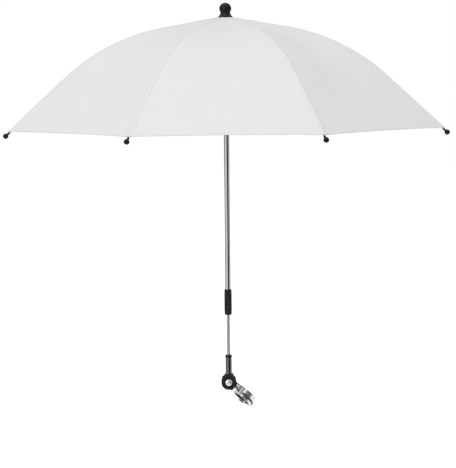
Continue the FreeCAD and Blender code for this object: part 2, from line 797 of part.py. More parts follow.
def rib():
    """Rib with its crown eye, stretcher bracket with rivet, and prong for the tip."""
    end = tip_ball_length - rib_channel_short
    channel = rib_channel(rib_start, end)
    reach = rib_start + rib_tab_into_channel
    high = rib_height / 2 - rib_wall / 2
    low = high - rib_tab_height
    tab = plate([on_rib(0, high), on_rib(reach, high), on_rib(reach, low), on_rib(0, low)],
                rib_tab_thickness)
    eye = across(rib_eye_radius, rib_tab_thickness, crown_hinge_radius, hinge_z)
    eye_hole = across(wire_radius + wire_clearance, 2 * rib_width, crown_hinge_radius, hinge_z)
    s = bracket_length_on_rib
    half = bracket_length / 2
    cheeks = [on_rib(s - half, 0), on_rib(s + half, 0), on_rib(s + half, -bracket_skirt),
              on_rib(s - half, -bracket_skirt)]
    inside = [on_rib(s - bracket_length, -rib_height / 2), on_rib(s + bracket_length, -rib_height / 2),
              on_rib(s + bracket_length, -2 * bracket_skirt), on_rib(s - bracket_length, -2 * bracket_skirt)]
    bracket = plate(cheeks, bracket_inner_width + 2 * bracket_wall).cut(plate(inside, bracket_inner_width))
    core = plate(cheeks, rib_width - 2 * rib_wall)
    bracket = bracket.cut(core)
    span = bracket_inner_width + 2 * bracket_wall + 2 * rivet_head_height
    rivet = across(rivet_radius, span, rib_pivot_r, rib_pivot_z)
    heads = across(rivet_head_radius, span, rib_pivot_r, rib_pivot_z).cut(
        across(rivet_head_radius, span - 2 * rivet_head_height, rib_pivot_r, rib_pivot_z))
    along = V(math.cos(rib_out), 0, -math.sin(rib_out))
    prong_start = end - rib_prong_back
    prong_end = tip_ball_length - rib_prong_short
    at = on_rib(prong_start, 0)
    prong = Part.makeCylinder(rib_prong_radius, prong_end - prong_start, V(at[0], 0, at[1]), along)
    body = channel.multiFuse([tab, eye, bracket, rivet, heads, prong])
    return body.cut(eye_hole).removeSplitter()


def stretcher():
    """Bar from the rib's rivet to the runner, its inner end cradling the runner wire."""
    length = stretcher_length
    half = stretcher_half_height
    outline = [(-cradle_inner, -cradle_bottom), (cradle_ramp_foot, -cradle_bottom),
               (cradle_ramp_end, -half), (length, -half), (length, half), (cradle_ramp_top, half),
               (cradle_outer, -cradle_top), (-cradle_inner, -cradle_top)]
    c = math.cos(stretcher_rise)
    n = math.sin(stretcher_rise)
    points = [(runner_hinge_radius + a * c - b * n, runner_hinge_z + a * n + b * c) for a, b in outline]
    eye = across(stretcher_eye_radius, stretcher_thickness, rib_pivot_r, rib_pivot_z)
    hole = across(rivet_radius + rivet_clearance, 2 * stretcher_thickness, rib_pivot_r, rib_pivot_z)
    return plate(points, stretcher_thickness).fuse(eye).cut(hole).removeSplitter()


def tip():
    """Ball cap with a neck, bored for the rib's prong."""
    ball = Part.makeSphere(tip_ball_radius)
    neck = cylinder(tip_neck_radius, -tip_neck_length, 0)
    bore = cylinder(rib_prong_radius + tip_bore_clearance, -2 * tip_neck_length, -rib_prong_short)
    r, z, slope = rib_line(tip_ball_length)
    along = V(math.cos(slope), 0, -math.sin(slope))
    return to_direction(ball.fuse(neck).cut(bore).removeSplitter(), V(r, 0, z), along)


def cloth_point(along_share, strip_share, side, rise):
    """Point of the cloth between a rib and the middle of the gore beside it."""
    start = (cloth_inner_radius - crown_hinge_radius) / math.cos(rib_in)
    arch = cloth_hem_arch * (1 - (1 - strip_share) ** 2)
    end = tip_ball_length - cloth_corner_short - arch
    dip = cloth_sag * math.sin(math.pi * along_share) * (3 - 2 * strip_share) * strip_share ** 2
    r, z = on_rib(start + along_share * (end - start), rise - dip)
    step = math.radians(rib_step_deg)
    inset = strip_share * r * (1 - math.cos(step)) / 2
    aside = strip_share * (r * math.sin(step) / 2 - cloth_panel_gap)
    return V(r - inset, side * aside, z)


def cloth_surface(side, rise):
    grid = [[cloth_point(i / (cloth_stations - 1), j / (cloth_strips - 1), side, rise)
             for j in range(cloth_strips)] for i in range(cloth_stations)]
    surface = Part.BSplineSurface()
    surface.interpolate(grid)
    return surface


def canopy_panel():
    """Cloth over one rib, out to the middle of the gore on each side."""
    faces = []
    for side in (1, -1):
        under = cloth_surface(side, cloth_low)
        over = cloth_surface(side, cloth_low + cloth_thickness)
        faces += [under.toShape(), over.toShape()]
        u0, u1, v0, v1 = under.bounds()
        a0, a1, b0, b1 = over.bounds()
        pairs = [(under.uIso(u0), over.uIso(a0)), (under.uIso(u1), over.uIso(a1)),
                 (under.vIso(v1), over.vIso(b1))]
        faces += [Part.makeRuledSurface(p.toShape(), q.toShape()) for p, q in pairs]
    sewn = Part.Compound(faces)
    sewn.sewShape()
    solid = Part.Solid(sewn.Shells[0])
    if solid.Volume < 0:
        solid.reverse()
    return solid


save("finial", finial(), canopy_frame)
save("crown", crown(), canopy_frame)
save("crown_wire", wire_ring(crown_hinge_radius, hinge_z), canopy_frame)
save("runner", runner(), canopy_frame)
save("runner_wire", wire_ring(runner_hinge_radius, runner_hinge_z), canopy_frame)
save("open_catch", open_catch(), canopy_frame)
save("stop_pin", stop_pin(), canopy_frame)
save("mast_tube", mast_tube(), canopy_frame)
save("lock_collar", lock_collar(), mast_frame)
save("collar_bush", collar_bush(), mast_frame)
save("inner_rod", inner_rod(), mast_frame)
save("rod_socket", rod_socket(), mast_frame)
save("socket_ring", socket_ring(), mast_frame)
save("tilt_fork", tilt_fork(), fork_frame)
save("friction_discs", friction_discs(), fork_frame)
save("tilt_bolt", tilt_bolt(), fork_frame)
save("tilt_knob", tilt_knob(), fork_frame)
save("swivel_boss", swivel_boss(), clamp_frame)
save("swivel_pin", swivel_pin(), clamp_frame)
save("clamp_saddle", clamp_saddle(), clamp_frame)
save("clamp_gate", clamp_gate(), clamp_frame)
save("gate_pin", gate_pin(), clamp_frame)
save("liner_saddle", liner(lug_deg + liner_lug_deg, full_turn_deg + gate_hinge_deg - liner_end_deg),
     clamp_frame)
save("liner_gate", liner(gate_hinge_deg + liner_end_deg, lug_deg - liner_lug_deg), clamp_frame)
save("clamp_screw", clamp_screw(), clamp_frame)
save("clamp_washer", clamp_washer(), clamp_frame)
save("clamp_knob", clamp_knob(), clamp_frame)

one_rib = rib()
one_stretcher = stretcher()
one_tip = tip()
one_panel = canopy_panel()
for k in range(rib_count):
    angle = first_rib_deg + k * rib_step_deg
    number = str(k + 1)
    save("rib_" + number, spun(one_rib, angle), canopy_frame)
    save("stretcher_" + number, spun(one_stretcher, angle), canopy_frame)
    save("tip_" + number, spun(one_tip, angle), canopy_frame)
    save("canopy_panel_" + number, spun(one_panel, angle), canopy_frame)

print("runner travel", round(runner_travel, 2), "stretcher turn", round(stretcher_turn_deg, 2))
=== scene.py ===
import json
import math
import bmesh
import bpy
from mathutils import Matrix, Vector


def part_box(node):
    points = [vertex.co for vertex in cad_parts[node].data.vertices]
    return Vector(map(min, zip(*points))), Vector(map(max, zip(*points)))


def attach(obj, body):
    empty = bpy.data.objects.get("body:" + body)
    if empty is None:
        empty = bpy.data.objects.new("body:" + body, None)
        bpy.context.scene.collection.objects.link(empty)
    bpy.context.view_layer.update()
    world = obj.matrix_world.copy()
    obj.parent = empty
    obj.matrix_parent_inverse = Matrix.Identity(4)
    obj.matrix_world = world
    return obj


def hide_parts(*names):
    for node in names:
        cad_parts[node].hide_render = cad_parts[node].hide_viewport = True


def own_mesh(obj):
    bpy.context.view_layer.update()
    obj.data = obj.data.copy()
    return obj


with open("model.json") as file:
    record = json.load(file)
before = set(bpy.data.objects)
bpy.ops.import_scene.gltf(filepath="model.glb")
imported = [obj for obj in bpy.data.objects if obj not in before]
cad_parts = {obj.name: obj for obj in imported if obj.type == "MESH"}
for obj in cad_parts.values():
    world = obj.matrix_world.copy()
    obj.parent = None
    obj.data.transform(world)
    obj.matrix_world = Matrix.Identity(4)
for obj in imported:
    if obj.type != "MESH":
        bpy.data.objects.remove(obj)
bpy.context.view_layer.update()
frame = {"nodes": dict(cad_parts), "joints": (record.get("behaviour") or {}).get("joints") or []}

# Tube clamp: two pressed steel half bands with rolled lips, satin plated,
# joined by a hinge pin and closed round a tube by a screw in their lugs.


def start_finish(name, colour, metallic, roughness):
    """New material with its plain values on the shader."""
    made = bpy.data.materials.new(name)
    made.use_nodes = True
    shader = made.node_tree.nodes["Principled BSDF"]
    shader.inputs["Base Color"].default_value = (*colour, 1.0)
    shader.inputs["Metallic"].default_value = metallic
    shader.inputs["Roughness"].default_value = roughness
    return made, shader


def node(made, kind, values=None, **settings):
    """Node in a material's or a world's tree, with values for its sockets and settings for itself."""
    new = made.node_tree.nodes.new(kind)
    for name, value in settings.items():
        setattr(new, name, value)
    for socket, value in (values or {}).items():
        new.inputs[socket].default_value = value
    return new


def link(made, out, into):
    """Link from one node's output to another's input."""
    made.node_tree.links.new(out, into)


def grain(made, scale, detail=3.0, stretch=(1.0, 1.0, 1.0)):
    """Noise over the surface, drawn out along the axes with a small stretch."""
    place = node(made, "ShaderNodeTexCoord")
    turn = node(made, "ShaderNodeMapping", {"Scale": stretch})
    noise = node(made, "ShaderNodeTexNoise", {"Scale": scale, "Detail": detail})
    link(made, place.outputs["Object"], turn.inputs["Vector"])
    link(made, turn.outputs["Vector"], noise.inputs["Vector"])
    return noise.outputs["Fac"]


def shade(made, shader, pattern, dark, light, low=0.35, high=0.65):
    """Colour between two tones, following a pattern."""
    ramp = node(made, "ShaderNodeValToRGB")
    ramp.color_ramp.elements[0].position = low
    ramp.color_ramp.elements[0].color = (*dark, 1.0)
    ramp.color_ramp.elements[1].position = high
    ramp.color_ramp.elements[1].color = (*light, 1.0)
    link(made, pattern, ramp.inputs["Fac"])
    link(made, ramp.outputs["Color"], shader.inputs["Base Color"])


def polish(made, shader, pattern, smooth, rough, low=0.3, high=0.7):
    """Roughness between two levels, following a pattern."""
    span = {"From Min": low, "From Max": high, "To Min": smooth, "To Max": rough}
    level = node(made, "ShaderNodeMapRange", span)
    link(made, pattern, level.inputs["Value"])
    link(made, level.outputs["Result"], shader.inputs["Roughness"])


def relief(made, shader, pattern, depth, strength=1.0):
    """Bump of a real depth in metres, over any bump that is there already."""
    bump = node(made, "ShaderNodeBump", {"Distance": depth, "Strength": strength})
    socket = shader.inputs["Normal"]
    if socket.links:
        link(made, socket.links[0].from_socket, bump.inputs["Normal"])
    link(made, pattern, bump.inputs["Height"])
    link(made, bump.outputs["Normal"], socket)


def dress(finish, *names):
    """Give CAD nodes a finish."""
    for name in names:
        mesh = frame["nodes"][name].data
        mesh.materials.clear()
        mesh.materials.append(finish)


band_silver, plating = start_finish("band_silver", (0.72, 0.72, 0.71), 1.0, 0.30)
shade(band_silver, plating, grain(band_silver, 180.0), (0.69, 0.69, 0.68), (0.75, 0.75, 0.74))
polish(band_silver, plating, grain(band_silver, 700.0, 4.0), 0.26, 0.35)
relief(band_silver, plating, grain(band_silver, 1500.0, 4.0), 0.000008)
dress(band_silver, "clamp_saddle", "clamp_gate")

steel_bright, zinc = start_finish("steel_bright", (0.60, 0.61, 0.62), 1.0, 0.30)
shade(steel_bright, zinc, grain(steel_bright, 700.0, 5.0), (0.54, 0.55, 0.56), (0.64, 0.65, 0.66))
polish(steel_bright, zinc, grain(steel_bright, 1500.0, 4.0), 0.24, 0.38)
relief(steel_bright, zinc, grain(steel_bright, 1800.0), 0.00001)
dress(steel_bright, "gate_pin")

# Clamp linings: two moulded strips of dark grey rubber glued inside the half bands.
# They keep the clamp from slipping on the tube and from scratching it.
# This dark finish also colours the groove strips, which are painted shade in the band's groove.
rubber_grey, rubber = start_finish("rubber_grey", (0.045, 0.045, 0.046), 0.0, 0.78)
shade(rubber_grey, rubber, grain(rubber_grey, 350.0, 5.0), (0.035, 0.035, 0.036), (0.065, 0.065, 0.064))
polish(rubber_grey, rubber, grain(rubber_grey, 1200.0), 0.68, 0.90)
relief(rubber_grey, rubber, grain(rubber_grey, 2600.0, 4.0), 0.00006)
dress(rubber_grey, "liner_saddle", "liner_gate")

# Groove strips: strips in the same dark rubber finish laid in the groove round the band, between its lips,
# as painted shade for the dark of the groove.
# They stop short of the hinge, the swivel boss and the lugs.


def piece(name, bm, finish, body, smooth=True):
    """Object from a mesh that is already in place, riding on a body."""
    mesh = bpy.data.meshes.new(name)
    bm.to_mesh(mesh)
    bm.free()
    mesh.materials.append(finish)
    for face in mesh.polygons:
        face.use_smooth = smooth
    made = bpy.data.objects.new(name, mesh)
    bpy.context.scene.collection.objects.link(made)
    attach(made, body)
    return made


joints = {j["name"]: j for j in frame["joints"]}
reach = Vector(joints["clamp_swivel"]["axis"])
tube_line = -Vector(joints["gate_swing"]["axis"])
clamp_turn = Matrix((reach, tube_line.cross(reach), tube_line)).transposed().to_4x4()
groove_middle, groove_half, groove_floor = -0.0022, 0.00155, 0.01665
strip_edge, strip_shoulder, strip_crest, shoulder_share = 0.0172, 0.0175, 0.0176, 0.7
strip_step_deg = 3.0


def groove_shade_strip(name, body, from_deg, to_deg):
    """Strip with a rounded crest, spun round the tube line between two angles."""
    bm = bmesh.new()
    outline = [(groove_floor, -1.0), (strip_edge, -1.0), (strip_shoulder, -shoulder_share),
               (strip_crest, 0.0),
               (strip_shoulder, shoulder_share), (strip_edge, 1.0), (groove_floor, 1.0)]
    bm.faces.new([bm.verts.new((r, 0.0, groove_middle + h * groove_half)) for r, h in outline])
    start = Matrix.Rotation(math.radians(from_deg), 3, "Z")
    bmesh.ops.rotate(bm, cent=(0, 0, 0), matrix=start, verts=bm.verts[:])
    span_deg = to_deg - from_deg
    bmesh.ops.spin(bm, geom=bm.verts[:] + bm.edges[:] + bm.faces[:], axis=(0, 0, 1), cent=(0, 0, 0),
                   angle=math.radians(span_deg), steps=int(span_deg / strip_step_deg) + 1)
    bmesh.ops.recalc_face_normals(bm, faces=bm.faces[:])
    bmesh.ops.transform(bm, matrix=clamp_turn, verts=bm.verts[:])
    piece(name, bm, rubber_grey, body, smooth=False)


# Dark strips that paint the shade of the groove between the band's lips.
groove_shade_strip("groove_strip_back", "clamp", 246.0, 328.0)
groove_shade_strip("groove_strip_top", "clamp", 32.0, 44.0)
groove_shade_strip("groove_strip_gate", "gate", 66.0, 218.0)

# Clamp screw: a zinc plated screw through both lugs, with a washer and a moulded knob.
# The knob has a blank cap pressed into its end.
plastic_black, nylon = start_finish("plastic_black", (0.016, 0.016, 0.017), 0.0, 0.42)
nylon.inputs["Specular IOR Level"].default_value = 0.17
shade(plastic_black, nylon, grain(plastic_black, 160.0, 6.0), (0.012, 0.012, 0.013), (0.022, 0.022, 0.023))
polish(plastic_black, nylon, grain(plastic_black, 420.0, 5.0), 0.34, 0.52)
relief(plastic_black, nylon, grain(plastic_black, 3800.0, 2.0), 0.00004)
dress(plastic_black, "clamp_knob")
dress(steel_bright, "clamp_screw", "clamp_washer")
merge_distance = 1e-7


def turned(outline, at, along, steps=48):
    """Mesh spun about an axis from (radius, height) points, moved to a point and direction."""
    bm = bmesh.new()
    line = [bm.verts.new((r, 0.0, h)) for r, h in outline]
    for a, b in zip(line, line[1:]):
        bm.edges.new((a, b))
    bmesh.ops.spin(bm, geom=bm.verts[:] + bm.edges[:], axis=(0, 0, 1), cent=(0, 0, 0),
                   angle=2 * math.pi, steps=steps, use_merge=True)
    bmesh.ops.remove_doubles(bm, verts=bm.verts[:], dist=merge_distance)
    bmesh.ops.recalc_face_normals(bm, faces=bm.faces[:])
    turn = Vector((0, 0, 1)).rotation_difference(Vector(along)).to_matrix().to_4x4()
    bmesh.ops.transform(bm, matrix=Matrix.Translation(at) @ turn, verts=bm.verts[:])
    return bm


cap_groove_floor, cap_lip, cap_chamfer, cap_foot = 0.0001, 0.0001, 0.0002, -0.0006


def cap_outline(face, groove, rim, top):
    """Radius and height points of a blank knob cap: a flat face, a groove round it and a lip."""
    return [(0.0, top), (face, top), (face + groove, cap_groove_floor), (face + 2 * groove, top + cap_lip),
            (rim - groove, top + cap_lip), (rim, top - cap_chamfer), (rim, cap_foot), (0.0, cap_foot)]


screw_axis = Vector(joints["clamp_knob_turn"]["axis"])
screw_at = Vector(joints["clamp_knob_turn"]["pos_m"])
knob_top = 0.0161
clamp_cap_outline = cap_outline(face=0.0030, groove=0.0004, rim=0.0050, top=0.0004)
piece("clamp_cap", turned(clamp_cap_outline, screw_at + knob_top * screw_axis, screw_axis),
      plastic_black, "screw")

thread_core, thread_root, thread_crest = 0.0021, 0.0024, 0.00254
thread_pitch, thread_from, thread_to, thread_steps = 0.0008, -0.0058, 0.0018, 32
ridges = int((thread_to - thread_from) / thread_pitch)
thread_end = thread_from + ridges * thread_pitch
thread_outline = [(thread_core, thread_from)]
for ridge in range(ridges):
    foot = thread_from + ridge * thread_pitch
    thread_outline += [(thread_root, foot), (thread_crest, foot + thread_pitch / 2)]
thread_outline += [(thread_root, thread_end), (thread_core, thread_end), (thread_core, thread_from)]
piece("screw_thread", turned(thread_outline, screw_at, screw_axis, thread_steps),
      steel_bright, "screw")

# Swivel boss: a plated steel block welded on the saddle half of the band.
# The fork's stem turns in its bore, and a steel cross pin keeps it there.
dress(band_silver, "swivel_boss")
dress(steel_bright, "swivel_pin")

# Tilt joint: a moulded fork with two round ears, fibre friction discs inside them,
# a plated domed bolt through both and a hand knob on its thread at the back.
dress(plastic_black, "tilt_fork", "tilt_knob")
dress(band_silver, "tilt_bolt")

fibre_brown, fibre = start_finish("fibre_brown", (0.07, 0.055, 0.045), 0.0, 0.85)
shade(fibre_brown, fibre, grain(fibre_brown, 900.0, 6.0), (0.05, 0.04, 0.033), (0.10, 0.08, 0.065))
polish(fibre_brown, fibre, grain(fibre_brown, 1600.0), 0.75, 0.95)
relief(fibre_brown, fibre, grain(fibre_brown, 2400.0, 5.0), 0.00008)
dress(fibre_brown, "friction_discs")

tilt_at = Vector(joints["mast_tilt"]["pos_m"])
back = Vector((0, 1, 0))
tilt_knob_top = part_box("tilt_knob")[1].y - tilt_at.y
tilt_cap_outline = cap_outline(face=0.0048, groove=0.0005, rim=0.0075, top=0.0005)
piece("tilt_cap", turned(tilt_cap_outline, tilt_at + tilt_knob_top * back, back),
      plastic_black, "tilt_lock")

# Rod socket: a black sleeve moulded in one with the tilt tongue, under a thick clear lacquer,
# with a separate ring pressed on its mouth round the rod.
lacquer_black, lacquer = start_finish("lacquer_black", (0.008, 0.008, 0.009), 0.0, 0.12)
lacquer.inputs["Specular IOR Level"].default_value = 0.2
lacquer.inputs["Coat Weight"].default_value = 1.0
lacquer.inputs["Coat Roughness"].default_value = 0.05
lacquer.inputs["Coat IOR"].default_value = 2.0
shade(lacquer_black, lacquer, grain(lacquer_black, 220.0, 4.0), (0.006, 0.006, 0.007), (0.012, 0.012, 0.013))
polish(lacquer_black, lacquer, grain(lacquer_black, 700.0, 5.0), 0.08, 0.20)
relief(lacquer_black, lacquer, grain(lacquer_black, 900.0, 2.0), 0.000012)
dress(lacquer_black, "rod_socket")
dress(plastic_black, "socket_ring")

# Lower rod: a slim aluminium rod, satin finished, that slides up into the mast tube.
# Fine drawing lines run along it.
rod_grey, satin = start_finish("rod_grey", (0.42, 0.425, 0.43), 1.0, 0.42)
drawn_tone = grain(rod_grey, 300.0, 5.0, (1.0, 1.0, 0.05))
shade(rod_grey, satin, drawn_tone, (0.38, 0.385, 0.39), (0.46, 0.465, 0.47))
polish(rod_grey, satin, grain(rod_grey, 900.0, 4.0, (1.0, 1.0, 0.03)), 0.36, 0.52)
relief(rod_grey, satin, grain(rod_grey, 2600.0, 2.0, (1.0, 1.0, 0.02)), 0.00001)
dress(rod_grey, "inner_rod")

# Lock collar: a black moulded sleeve on the tube's lower end, twisted to grip the rod.
# Low flutes round its middle give the hand a hold, and a split bush sits inside it.
dress(plastic_black, "lock_collar", "collar_bush")
collar_low, collar_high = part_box("lock_collar")
collar_middle = (collar_low + collar_high) / 2
flute_count, flute_points, flute_radius, flute_proud = 20, 4, 0.00585, 0.00025
grip_inset, grip_bevel, grip_end_share, grip_wall = 0.0065, 0.0006, 0.97, 0.0004
grip_length = collar_high.z - collar_low.z - 2 * grip_inset


def walled(made, thickness):
    """Give a piece's open skin a wall on its inner side."""
    wall = made.modifiers.new("wall", "SOLIDIFY")
    wall.thickness = thickness
    wall.offset = -1.0
    return made


grip = bmesh.new()
bmesh.ops.create_circle(grip, cap_ends=False, radius=flute_radius, segments=flute_count * flute_points)
for index, corner in enumerate(grip.verts):
    if index % flute_points < flute_points / 2:
        corner.co *= 1 + flute_proud / flute_radius
lowest = grip.verts[:]
ring = grip.edges[:]
for rise, share in ((grip_bevel, 1.0), (grip_length - 2 * grip_bevel, 1.0), (grip_bevel, grip_end_share)):
    grown = bmesh.ops.extrude_edge_only(grip, edges=ring)["geom"]
    raised = [g for g in grown if isinstance(g, bmesh.types.BMVert)]
    bmesh.ops.translate(grip, vec=(0, 0, rise), verts=raised)
    bmesh.ops.scale(grip, vec=(share, share, 1), verts=raised)
    ring = [g for g in grown if isinstance(g, bmesh.types.BMEdge) and g.is_boundary]
bmesh.ops.scale(grip, vec=(grip_end_share, grip_end_share, 1), verts=lowest)
bmesh.ops.recalc_face_normals(grip, faces=grip.faces[:])
grip_at = (collar_middle.x, collar_middle.y, collar_low.z + grip_inset)
bmesh.ops.translate(grip, vec=grip_at, verts=grip.verts[:])
walled(piece("collar_grip", grip, plastic_black, "collar", smooth=False), grip_wall)

# Mast tube: a thin chromed steel tube from the collar up to the crown.
# A steel pin stops the runner above, and a sprung steel tooth holds it open below.
tube_chrome, chrome = start_finish("tube_chrome", (0.47, 0.48, 0.49), 1.0, 0.07)
chrome_tone = grain(tube_chrome, 90.0, 4.0, (1.0, 1.0, 0.2))
shade(tube_chrome, chrome, chrome_tone, (0.44, 0.45, 0.46), (0.50, 0.51, 0.52))
polish(tube_chrome, chrome, grain(tube_chrome, 500.0, 4.0, (1.0, 1.0, 0.04)), 0.04, 0.12)
relief(tube_chrome, chrome, grain(tube_chrome, 1400.0, 2.0, (1.0, 1.0, 0.02)), 0.000004)
dress(tube_chrome, "mast_tube")
dress(steel_bright, "stop_pin", "open_catch")

# Crown: a slotted black wheel on the tube's top, with a ring of wire for the rib eyes.
# The glossy finial over it presses the cloth down and plugs the tube.
dress(plastic_black, "crown")
dress(steel_bright, "crown_wire")
plastic_gloss, gloss = start_finish("plastic_gloss_black", (0.008, 0.008, 0.009), 0.0, 0.16)
gloss.inputs["Specular IOR Level"].default_value = 0.15
shade(plastic_gloss, gloss, grain(plastic_gloss, 220.0, 4.0), (0.006, 0.006, 0.007), (0.012, 0.012, 0.013))
polish(plastic_gloss, gloss, grain(plastic_gloss, 700.0, 5.0), 0.12, 0.24)
relief(plastic_gloss, gloss, grain(plastic_gloss, 900.0, 2.0), 0.000012)
dress(plastic_gloss, "finial")

# Runner: a black moulded sleeve that slides on the mast.
# Its slotted hub carries the ring of wire for the stretchers' lower ends.
dress(plastic_black, "runner")
dress(steel_bright, "runner_wire")

# Ribs and stretchers: pressed and zinc plated steel channels and bars, eight of each.
# Every rib ends in a glossy black ball tip that the cloth's corner is sewn to.
rib_count = 8
ribs = range(1, rib_count + 1)
for k in ribs:
    dress(steel_bright, f"rib_{k}", f"stretcher_{k}")
    dress(plastic_gloss, f"tip_{k}")

# Canopy cloth: eight gores of white woven polyester over the ribs, hemmed at the rim.
# Each gore is made as two halves that meet flush in its middle, so that it can fold with its ribs.
crown_level = 0.6045
crown_at = tilt_at + Vector((0, 0, crown_level))
hinge_radius, inner_run, bow_radius, tip_radius = 0.007, 0.1032, 0.340, 0.372
slope_in, slope_out = math.radians(9.8), math.radians(41.3)
gore_turn = 2 * math.pi / rib_count
bow_run = bow_radius * (slope_out - slope_in)


def rib_line(s):
    """Radius, height and slope of the rib at a length from its crown hinge."""
    r = hinge_radius + min(s, inner_run) * math.cos(slope_in)
    z = -min(s, inner_run) * math.sin(slope_in)
    if s <= inner_run:
        return r, z, slope_in
    slope = slope_in + min(s - inner_run, bow_run) / bow_radius
    r += bow_radius * (math.sin(slope) - math.sin(slope_in))
    z += bow_radius * (math.cos(slope) - math.cos(slope_in))
    rest = max(s - inner_run - bow_run, 0.0)
    return r + rest * math.cos(slope), z - rest * math.sin(slope), slope


bow_end = rib_line(inner_run + bow_run)[0]
tip_run = inner_run + bow_run + (tip_radius - bow_end) / math.cos(slope_out)


def to_row(k):
    """Move from a rib's own frame to its place round the crown."""
    return Matrix.Translation(crown_at) @ Matrix.Rotation(gore_turn * (k - 0.5), 4, "Z")


def cloth_point(s, aside, side, rise):
    """Point on the straight line from a rib to the next, at a distance to the rib's side."""
    r, z, slope = rib_line(s)
    out = rise * math.sin(slope)
    aside *= 1 + out / r
    return Vector((r + out - aside * math.tan(gore_turn / 2), side * aside, z + rise * math.cos(slope)))


def half_width(s):
    """Distance from the rib to the middle of the gore."""
    return rib_line(s)[0] * math.sin(gore_turn) / 2


corner_short, hem_arch = 0.0084, 0.0020


def rim_run(share):
    """Length along the rib direction at which the hem lies, for a share of the half gore's width."""
    return tip_run - corner_short - hem_arch * (1 - (1 - share) ** 2)


cloth_sag = 0.0054
pucker_depth, pucker_reach, pucker_clear, seam_wave, hem_wave = 0.00022, 0.007, 0.002, 0.0019, 0.0021
pull_depth, pull_reach, pull_clear, pull_rays = 0.0005, 0.075, 0.02, 11.0


def cloth_lift(s, aside, share, rim):
    """Small rise and fall of the cloth: sag between ribs, puckers at seam and hem, pull from the tips."""
    along = min(max(s / rim, 0.0), 1.0)
    fade = (1 - share ** 2) ** 2
    sag = -cloth_sag * math.sin(math.pi * along) * (3 - 2 * share) * share ** 2
    by_seam = math.exp(-aside / pucker_reach) * (1 - math.exp(-aside / pucker_clear))
    by_hem = math.exp(-max(rim - s, 0.0) / pucker_reach) * fade
    puckers = pucker_depth * (math.sin(s / seam_wave) * by_seam + math.sin(aside / hem_wave) * by_hem)
    away = math.hypot(tip_run - s, aside)
    bearing = math.atan2(aside, tip_run - s)
    by_tip = math.exp(-away / pull_reach) * (1 - math.exp(-away / pull_clear)) * fade
    return sag + puckers + pull_depth * math.sin(pull_rays * bearing) * by_tip


cloth_white, weave = start_finish("cloth_white", (0.80, 0.80, 0.80), 0.0, 0.82)
weave.inputs["Sheen Weight"].default_value = 0.12
weave.inputs["Sheen Roughness"].default_value = 0.5
weave.inputs["Specular IOR Level"].default_value = 0.25
shade(cloth_white, weave, grain(cloth_white, 60.0, 6.0), (0.795, 0.795, 0.795), (0.805, 0.805, 0.805))
polish(cloth_white, weave, grain(cloth_white, 300.0, 4.0), 0.76, 0.90)
weave_map, weave_unit = "cloth_lie", 0.15
lie = node(cloth_white, "ShaderNodeUVMap", uv_map=weave_map)
cross = node(cloth_white, "ShaderNodeMath", operation="MAXIMUM")
for place, direction in enumerate("XY"):
    yarn = node(cloth_white, "ShaderNodeTexWave", {"Scale": 105.0, "Distortion": 0.6, "Detail": 1.0},
                bands_direction=direction)
    link(cloth_white, lie.outputs["UV"], yarn.inputs["Vector"])
    link(cloth_white, yarn.outputs["Fac"], cross.inputs[place])
relief(cloth_white, weave, cross.outputs["Value"], 0.00004, 0.5)
relief(cloth_white, weave, grain(cloth_white, 900.0, 3.0), 0.00003, 0.5)


def lay_uv(bm, places):
    """Flat place of each point of the cloth, in weave units, for the weave."""
    layer = bm.loops.layers.uv.new(weave_map)
    for face in bm.faces:
        for loop in face.loops:
            loop[layer].uv = places[loop.vert]


cloth_start, cloth_rise, cloth_thickness, hem_width = -0.0014, 0.0024, 0.0002, 0.008
cloth_rows, cloth_columns, crowding = 100, 30, 1.4
# Rows that turn the hem under: length past the rim and rise over the rib's line.
hem_fold = ((0.0003, 0.00232), (0.0003, 0.00198), (0.0, 0.0019), (-hem_width, 0.0019))
side_names = {1: "left", -1: "right"}


def half_gore(k, side):
    """Cloth from a rib to the middle of the gore at one side, with its hem turned under."""
    bm = bmesh.new()
    rows = cloth_rows + len(hem_fold)
    bmesh.ops.create_grid(bm, x_segments=cloth_columns, y_segments=rows, size=0.5)
    places = {}
    for corner in bm.verts:
        share = (corner.co.x + 0.5) ** crowding
        row = round((corner.co.y + 0.5) * rows)
        rim = rim_run(share)
        s = cloth_start + min(row / cloth_rows, 1.0) * (rim - cloth_start)
        rise = cloth_rise
        if row > cloth_rows:
            past, rise = hem_fold[row - cloth_rows - 1]
            s = rim + past
        aside = share * half_width(s)
        rise += cloth_lift(min(s, rim), aside, share, rim)
        places[corner] = (aside / weave_unit, s / weave_unit)
        corner.co = cloth_point(s, aside, side, rise)
    lay_uv(bm, places)
    bmesh.ops.transform(bm, matrix=to_row(k), verts=bm.verts[:])
    if side < 0:
        bmesh.ops.reverse_faces(bm, faces=bm.faces[:])
    for edge in bm.edges:
        edge.smooth = not edge.is_boundary
    made = piece(f"gore_{k}_{side_names[side]}", bm, cloth_white, f"rib_{k}")
    return walled(made, cloth_thickness)


# Seams: two gores felled together along each rib, so that a flat double strip lies over it.
# A narrow patch under the seam at the crown covers the gap where folded half gores draw apart.


def rib_strip(name, k, columns, rows, start, end, shape, thickness):
    """Strip of cloth along a rib, where shape gives the distance aside and the rise at each point."""
    bm = bmesh.new()
    bmesh.ops.create_grid(bm, x_segments=columns, y_segments=rows, size=0.5)
    places = {}
    for corner in bm.verts:
        across = 2 * corner.co.x
        s = start + (corner.co.y + 0.5) * (end - start)
        aside, rise = shape(s, across)
        places[corner] = (aside / weave_unit, s / weave_unit)
        corner.co = cloth_point(s, aside, 1 if across > 0 else -1, rise)
    lay_uv(bm, places)
    bmesh.ops.transform(bm, matrix=to_row(k), verts=bm.verts[:])
    return walled(piece(name, bm, cloth_white, f"rib_{k}"), thickness)


seam_start, seam_half, seam_rise, seam_thickness = 0.0068, 0.0030, 0.00275, 0.0003
seam_crest, seam_edge_drop, seam_ripple, seam_most_share = 0.00015, 0.0002, 0.00007, 0.8
seam_columns, seam_rows = 8, 120


